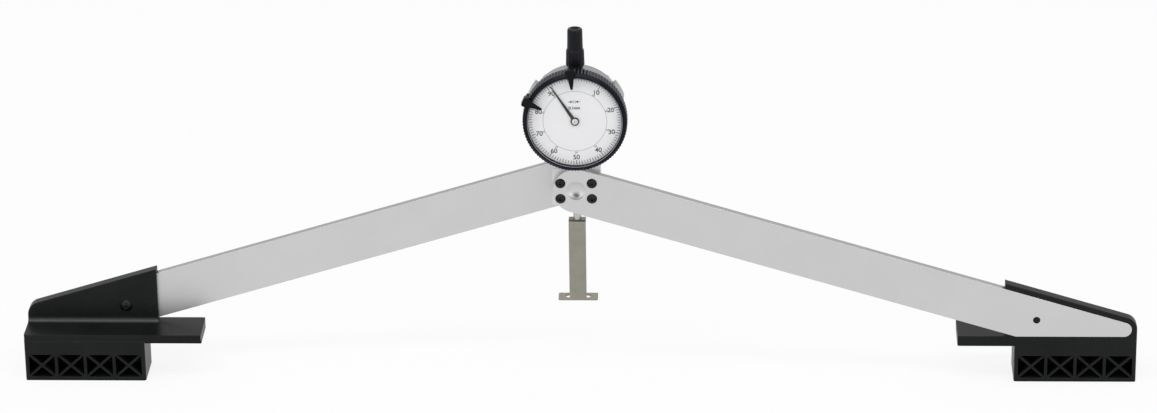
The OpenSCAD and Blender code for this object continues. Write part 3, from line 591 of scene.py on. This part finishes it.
# Degrees from one number to the next
NUMBER_STEP = 36

# The unit sign's distance from the dial's middle and, from its own middle, the bars and the
# arrows that point at them, in mm. Widths and heights are halves
SIGN_R = 11.2
BAR_AT, BAR_WIDTH, BAR_HEIGHT = 0.55, 0.15, 0.85
ARROW_TIP, HEAD_END, SHAFT_END = 0.85, 2.1, 3.4
HEAD_HEIGHT, SHAFT_HEIGHT = 0.75, 0.15

# Height of the font's figures as a share of its size
FIGURE_SHARE = 0.7
# As shares of the figures' height: how far they come down, since Blender centres the font's whole
# line, and how much their strokes are widened
FIGURE_DROP = 0.19
BOLD, EXTRA_BOLD = 0.022, 0.05
# Points of the letters that are nearer to each other than this, in metres, become one
TEXT_WELD = 1e-7


def on_dial(radius, angle):
    """A point of the dial's front, by radius in mm and degrees clockwise from the printed top."""
    a = math.radians(angle + PRINT_TURN)
    return DIAL_AT + Vector((radius * math.sin(a), 0, radius * math.cos(a))) * MM


def raised(bm, corners, height=INK):
    """A flat shape that stands this high before the dial and is sunk a little into it."""
    lift = Vector((0, -height * MM, 0))
    prism(bm, [corner - lift * SINK for corner in corners], [corner + lift for corner in corners])


def tick(bm, angle, inner, width):
    clockwise = clock_vectors(angle + PRINT_TURN)[1]
    side = clockwise * width / 2 * MM
    low, top = on_dial(inner, angle), on_dial(TICK_OUTER, angle)
    raised(bm, [low - side, low + side, top + side, top - side])


def dial_ticks():
    bm = bmesh.new()
    for i in range(DIVISIONS):
        inner, width = next(kind[1:] for kind in TICK_KINDS if i % kind[0] == 0)
        tick(bm, i * 360 / DIVISIONS, inner, width)
    return finished(bm, "dial_ticks")


def dial_circle():
    bm = bmesh.new()
    for i in range(CIRCLE_STEPS):
        a, b = i * 360 / CIRCLE_STEPS, (i + 1) * 360 / CIRCLE_STEPS
        corners = [(CIRCLE_INNER, a), (CIRCLE_OUTER, a), (CIRCLE_OUTER, b), (CIRCLE_INNER, b)]
        raised(bm, [on_dial(*corner) for corner in corners], CIRCLE_INK)
    return finished(bm, "dial_circle")


def unit_sign():
    """Two arrows that meet at two short bars."""
    bm = bmesh.new()
    middle = on_dial(SIGN_R, 0)
    outward, clockwise = clock_vectors(PRINT_TURN)
    up, across = outward * MM, clockwise * MM
    for side in (-1, 1):
        bar_at, head_end = side * BAR_AT, side * HEAD_END
        bar = rectangle(bar_at - BAR_WIDTH, bar_at + BAR_WIDTH, -BAR_HEIGHT, BAR_HEIGHT)
        head = [(side * ARROW_TIP, 0), (head_end, HEAD_HEIGHT), (head_end, -HEAD_HEIGHT)]
        shaft = rectangle(head_end, side * SHAFT_END, -SHAFT_HEIGHT, SHAFT_HEIGHT)
        for shape in (bar, head, shaft):
            raised(bm, [middle + across * x + up * z for x, z in shape])
    return finished(bm, "dial_unit_sign")


def words(name, texts, height, bold=BOLD):
    """One mesh of short texts, each given with its place. height is that of the figures."""
    bm = bmesh.new()
    lowered = Matrix.Translation((0, -FIGURE_DROP * height * MM, 0))
    print_turn = Matrix.Rotation(math.radians(PRINT_TURN), 4, "Y")
    upright = Matrix.Rotation(math.radians(90), 4, "X")
    for text, place in texts:
        curve = bpy.data.curves.new("text", "FONT")
        curve.body = text
        curve.size = height * MM / FIGURE_SHARE
        curve.align_x = "CENTER"
        curve.align_y = "CENTER"
        curve.extrude = INK * MM
        curve.offset = bold * height * MM
        holder = bpy.data.objects.new("text", curve)
        scene.collection.objects.link(holder)
        bpy.context.view_layer.update()
        mesh = bpy.data.meshes.new_from_object(holder)
        mesh.transform(lowered)
        mesh.transform(Matrix.Translation(place) @ print_turn @ upright)
        bm.from_mesh(mesh)
        bpy.data.objects.remove(holder)
        bpy.data.meshes.remove(mesh)
        bpy.data.curves.remove(curve)
    bmesh.ops.remove_doubles(bm, verts=bm.verts, dist=TEXT_WELD)
    return finished(bm, name)


def numbers():
    """The tens clockwise from the top, where the zero is left out."""
    texts = [(str(i * 10), on_dial(NUMBER_R, i * NUMBER_STEP)) for i in range(1, 10)]
    return words("dial_numbers", texts, NUMBER_HEIGHT)


def reverse_numbers():
    """The same tens, counted the other way round."""
    texts = []
    for i in range(1, 10):
        angle = i * NUMBER_STEP
        radius = REVERSE_R - REVERSE_SHIFT * abs(math.cos(math.radians(angle)))
        texts.append((str(DIVISIONS - i * 10), on_dial(radius, angle)))
    return words("dial_reverse_numbers", texts, REVERSE_HEIGHT)


def unit():
    return words("dial_unit", [("0.1mm", on_dial(UNIT_R, 0))], UNIT_HEIGHT, EXTRA_BOLD)


piece("dial_ticks", dial_ticks(), "bezel_group", "print_dark")
piece("dial_circle", dial_circle(), "bezel_group", "print_grey")
piece("dial_unit_sign", unit_sign(), "bezel_group", "print_dark")
piece("dial_numbers", numbers(), "bezel_group", "print_dark")
piece("dial_reverse_numbers", reverse_numbers(), "bezel_group", "print_grey")
piece("dial_unit", unit(), "bezel_group", "print_dark")


# ---------- the pointer's hub and the bezel's inner lip ----------

# The hub's slot: degrees clockwise from the top, half its length and width, and its height over
# the pointer's front, in mm
SLOT_ANGLE = 24
SLOT_LENGTH, SLOT_WIDTH, SLOT_RISE = 0.62, 0.13, 0.15
HUB_STEPS, LIP_STEPS = 48, 160
POINTER_FRONT = before_dial("pointer")
BEZEL_FRONT = before_dial("bezel")
GLASS_FRONT = before_dial("crystal")


def about_dial(angle, radius, front):
    """A point round the dial's axis, this far before the dial, with lengths in mm."""
    return DIAL_AT + Vector((radius * math.cos(angle), -front, radius * math.sin(angle))) * MM


def pointer_hub():
    """A turned light disc over the pointer's boss. Its heights start at the pointer's front."""
    disc = [(0, -0.25), (1.7, -0.25), (1.7, 0.03), (1.6, 0.1), (1.1, 0.14)]
    button = [(0.75, 0.12), (0.7, 0.16), (0, 0.16)]
    profile = [(radius, POINTER_FRONT + height) for radius, height in disc + button]
    return finished(turned(profile, HUB_STEPS, about_dial), "pointer_hub")


def hub_slot():
    """The screwdriver slot across the hub, as a dark bar that paints the slot's shade."""
    bm = bmesh.new()
    outward, clockwise = clock_vectors(SLOT_ANGLE)
    centre = DIAL_AT + Vector((0, -(POINTER_FRONT + SLOT_RISE) * MM, 0))
    along, across = outward * MM, clockwise * MM
    outline = rectangle(-SLOT_LENGTH, SLOT_LENGTH, -SLOT_WIDTH, SLOT_WIDTH)
    raised(bm, [centre + along * x + across * z for x, z in outline])
    return finished(bm, "hub_slot")


def inner_lip():
    """The bezel's inner lip, which closes over the crystal's edge."""
    over_glass = [(26.3, GLASS_FRONT + 0.02), (25.3, GLASS_FRONT + 0.02), (25.26, GLASS_FRONT + 0.2)]
    crest = [(25.4, -0.12), (25.6, -0.02), (26.2, 0.04), (26.7, 0.02), (26.8, -0.05)]
    profile = over_glass + [(radius, BEZEL_FRONT + height) for radius, height in crest]
    return finished(turned(profile, LIP_STEPS, about_dial), "inner_lip")


def lip_line():
    """A painted highlight on the inner lip's crest: a thin grey line round the dial."""
    crest = [(25.58, -0.03), (25.62, 0.05), (25.72, 0.08), (25.84, 0.06), (25.9, -0.01)]
    profile = [(radius, BEZEL_FRONT + height) for radius, height in crest]
    return finished(turned(profile, LIP_STEPS, about_dial), "lip_line")


hub = piece("pointer_hub", pointer_hub(), "pointer_hand", "hub_metal")
# The slot's dark bar is painted shade
piece("hub_slot", hub_slot(), "pointer_hand", "pointer_black")
# The painted highlight on the inner lip
line = piece("lip_line", lip_line(), "bezel_group", "lip_line")
lip = piece("inner_lip", inner_lip(), "bezel_group", "bezel_plastic")
for turned_piece in (hub, line, lip):
    shade_smooth(turned_piece)


# ---------- limit markers ----------

# Radius of the bezel, and how far its two faces stand before the part's middle plane, in mm
bezel_low, bezel_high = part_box("bezel")
BEZEL_R = (bezel_high.x - bezel_low.x) / 2 / MM
BEZEL_FACE, BEZEL_BACK = -bezel_low.y / MM, -bezel_high.y / MM

# Room between a clip and the bezel's rim and faces, and the clip's sizes, in mm
RIM_ROOM, FACE_ROOM = 0.15, 0.2
CLIP_WALL = 0.8
GRIP_DEPTH = 3.6
LEG_WIDTH, LEG_WALL, HOOK_REACH = 2.6, 0.7, 1.6

# Radius in mm and steps of the clip's rounding, and the angle in degrees from which an edge has it
ROUNDING, ROUNDING_STEPS, SHARP_ANGLE = 0.22, 3, 40
# Points of a clip that are nearer to each other than this, in metres, become one
CLIP_WELD = 1e-6

# Body, node and angle in degrees clockwise from the top
MARKERS = (("top_marker", "top_limit_marker", -4.0), ("side_marker", "side_limit_marker", -65.5))


def marker_clip(name, angle):
    """A rounded grip on the rim, a tapered tongue over the dial, and a thin leg with its hook.

    The outlines are halves: distance from the clip's middle, then from the dial's axis.
    """
    bm = bmesh.new()
    outward, clockwise = clock_vectors(angle)
    rim, front, rear = BEZEL_R + RIM_ROOM, BEZEL_FACE + FACE_ROOM, BEZEL_BACK - FACE_ROOM
    grip_end = front - GRIP_DEPTH
    half_leg = LEG_WIDTH / 2

    def place(u, v, forward):
        return Vector((0, 0, DIAL_AT.z)) + (clockwise * u + outward * v + Vector((0, -forward, 0))) * MM

    def solid(half, low, high):
        outline = half + [(-u, v) for u, v in reversed(half) if u > 0]
        prism(bm, [place(u, v, low) for u, v in outline], [place(u, v, high) for u, v in outline])

    tongue = [(0.0, 19.5), (0.35, 19.55), (0.6, 19.75), (0.68, 20.1), (1.6, 25.3), (1.8, 26.1)]
    shoulder = [(2.3, 27.0), (2.6, 28.0)]
    corner = [(2.6, 29.9), (2.4, 30.5), (1.9, 30.85), (1.2, 30.9)]
    solid(tongue + shoulder + corner, front, front + CLIP_WALL)
    solid([(2.6, rim)] + corner, grip_end, front)
    solid([(half_leg, rim), (half_leg, rim + LEG_WALL)], rear - CLIP_WALL, grip_end)
    solid([(half_leg, rim - HOOK_REACH), (half_leg, rim)], rear - CLIP_WALL, rear)
    bmesh.ops.remove_doubles(bm, verts=bm.verts, dist=CLIP_WELD)
    return finished(bm, name)


def round_off(made):
    """Real rounding on the sharp edges of a small moulding."""
    bevel = made.modifiers.new("rounding", "BEVEL")
    bevel.width = ROUNDING * MM
    bevel.segments = ROUNDING_STEPS
    bevel.limit_method = "ANGLE"
    bevel.angle_limit = math.radians(SHARP_ANGLE)
    shade_smooth(made)


for body, node, angle in MARKERS:
    clip = piece(body + "_clip", marker_clip(body + "_clip", angle), body, "marker_black")
    round_off(clip)
    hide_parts(node)


# ---------- dust cap ----------

RIBS = 18
STEPS_PER_RIB = 10
# Grooves between the ribs: from which height over the cap's seat to which they are how deep, in
# mm. The first row that holds a height counts
GROOVES = ((2.3, 10.5, 0.34), (2.0, 11, 0.12))


def groove_depth(height):
    """Depth of the grooves at a height over the cap's seat, in mm."""
    for low, high, depth in GROOVES:
        if low < height < high:
            return depth
    return 0.0


def cap_mesh():
    """The dust cap: waist, ribbed grip, tapered barrel, rounded rim and a dimpled top."""
    low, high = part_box("dust_cap")
    top = (high.z - low.z) / MM
    waist = [(4.12, 0.0), (4.12, 0.5), (4.3, 0.8)]
    grip = [(4.95, 2.1), (5.12, 2.4), (5.12, 2.7), (5.0, 6.0), (4.88, 10.3), (4.72, 10.8)]
    barrel = [(4.4, 11.1), (4.34, 11.4), (4.26, 14.0), (4.12, top - 1.2)]
    rim = [(4.0, top - 0.6), (3.75, top - 0.2), (3.3, top - 0.02), (2.75, top)]
    dimple = [(2.3, top - 0.12), (2.05, top - 0.4), (2.0, top - 0.65), (0, top - 0.75)]

    def place(angle, radius, height):
        groove = max(0.0, math.cos(RIBS * angle)) ** 2
        out = (radius - groove_depth(height) * groove) * MM
        return out * math.cos(angle), out * math.sin(angle), low.z + height * MM

    profile = waist + grip + barrel + rim + dimple
    return finished(turned(profile, RIBS * STEPS_PER_RIB, place, close_start=True), "cap")


cap = piece("ribbed_cap", cap_mesh(), "frame", "cap_plastic")
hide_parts("dust_cap")
shade_smooth(cap)


# ---------- floor and light ----------

# Radius of the floor and how far it lies under the feet, in metres
FLOOR_RADIUS = 9.0
FLOOR_DROP = 0.05 * MM
# Share of plain white in what is seen of the floor, and the tone of the rest
FLOOR_WHITE = 0.87
FLOOR_TONE = 0.94
# Colour and strength of the light that comes from all round
WORLD_COLOUR = (0.97, 0.985, 1)
WORLD_LIGHT = 0.6

# Place and size in metres, and power in watts. All of them face the gauge
LAMPS = {
    "top_strip": ((0.0, -0.72, 1.75), (2.6, 0.34), 13),
    "left_softbox": ((-2.2, -2.2, 1.3), (3.0, 2.4), 22),
    "right_softbox": ((2.2, -2.2, 1.3), (3.0, 2.4), 22),
}
LAMP_AIM = (0, 0, 0.09)


def make_floor():
    """A pale floor. Most of what is seen of it is plain white, and the rest keeps the shadow."""
    bm = bmesh.new()
    bmesh.ops.create_circle(bm, cap_ends=True, segments=96, radius=FLOOR_RADIUS)
    mesh = finished(bm, "floor")
    floor = bpy.data.objects.new("floor", mesh)
    scene.collection.objects.link(floor)
    floor.location.z = -FLOOR_DROP
    s = Shader("floor")
    s.set(Base_Color=(FLOOR_TONE, FLOOR_TONE, FLOOR_TONE), Roughness=0.9, Specular_IOR_Level=0.0)
    white = s.node("ShaderNodeEmission", Color=(1, 1, 1), Strength=1.0)
    s.show(mixed_shaders(s.tree, s.times(seen_ray(s.tree), FLOOR_WHITE), s.bsdf, white))
    mesh.materials.append(s.mat)


def make_world():
    """Even light all round, which is seen as plain white."""
    world = bpy.data.worlds.new("studio")
    scene.world = world
    world.use_nodes = True
    tree = world.node_tree
    tree.nodes.clear()
    light = add_node(tree, "ShaderNodeBackground", Color=WORLD_COLOUR, Strength=WORLD_LIGHT)
    white = add_node(tree, "ShaderNodeBackground", Color=(1, 1, 1), Strength=1.0)
    mix = mixed_shaders(tree, seen_ray(tree), light, white)
    add_node(tree, "ShaderNodeOutputWorld", Surface=mix.outputs[0])


def make_lamp(name, place, size, power):
    """A rectangular soft lamp that faces the gauge."""
    data = bpy.data.lights.new(name, "AREA")
    data.shape = "RECTANGLE"
    data.size, data.size_y = size
    data.energy = power
    made = bpy.data.objects.new(name, data)
    scene.collection.objects.link(made)
    made.location = place
    made.rotation_mode = "QUATERNION"
    made.rotation_quaternion = (Vector(LAMP_AIM) - Vector(place)).to_track_quat("-Z", "Y")


make_floor()
make_world()
for lamp_name, (place, size, power) in LAMPS.items():
    make_lamp(lamp_name, place, size, power)
